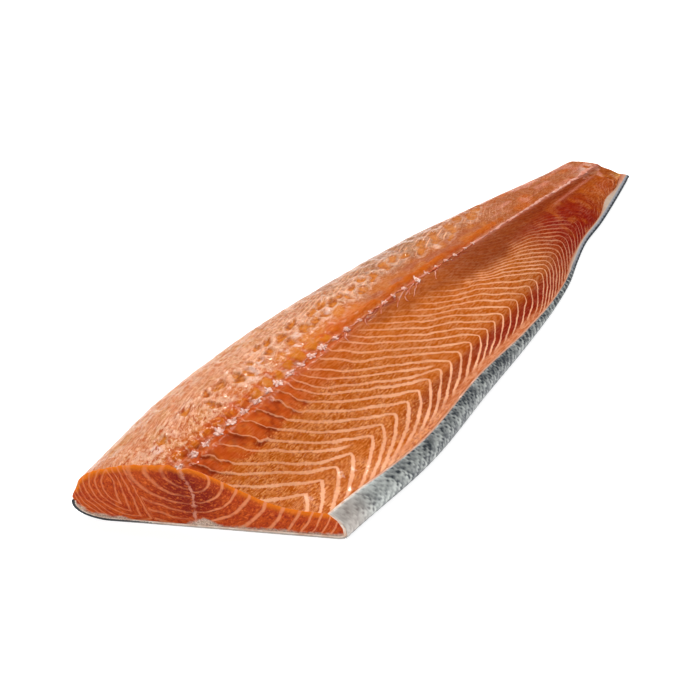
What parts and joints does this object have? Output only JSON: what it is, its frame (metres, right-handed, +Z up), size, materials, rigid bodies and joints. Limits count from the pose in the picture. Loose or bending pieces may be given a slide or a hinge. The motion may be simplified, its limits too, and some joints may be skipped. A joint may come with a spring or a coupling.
{
  "type": "salmon side",
  "caption": "Whole skin-on side of salmon lying skin down: thick loin, low belly edge with silver skin, slanted head cut and narrow tail, in layers of flesh, fat and skin.",
  "frame": {"origin": "on the surface the side lies on, under the middle of its bounding box", "axes": "+Y along the side towards the tail, +X across towards the belly edge, +Z up from the skin to the cut flesh"},
  "size_m": [0.141, 0.5088, 0.0427],
  "materials": {
    "flesh": "moist orange fish flesh with pale pink fat lines",
    "fat": "soft whitish fish fat with a slight sheen",
    "skin": "wet silver fish skin with fine scales, blue-grey on the back"
  },
  "bodies": {
    "root": {"flesh": "flesh", "fat": "fat", "skin": "skin"}
  },
  "joints": []
}
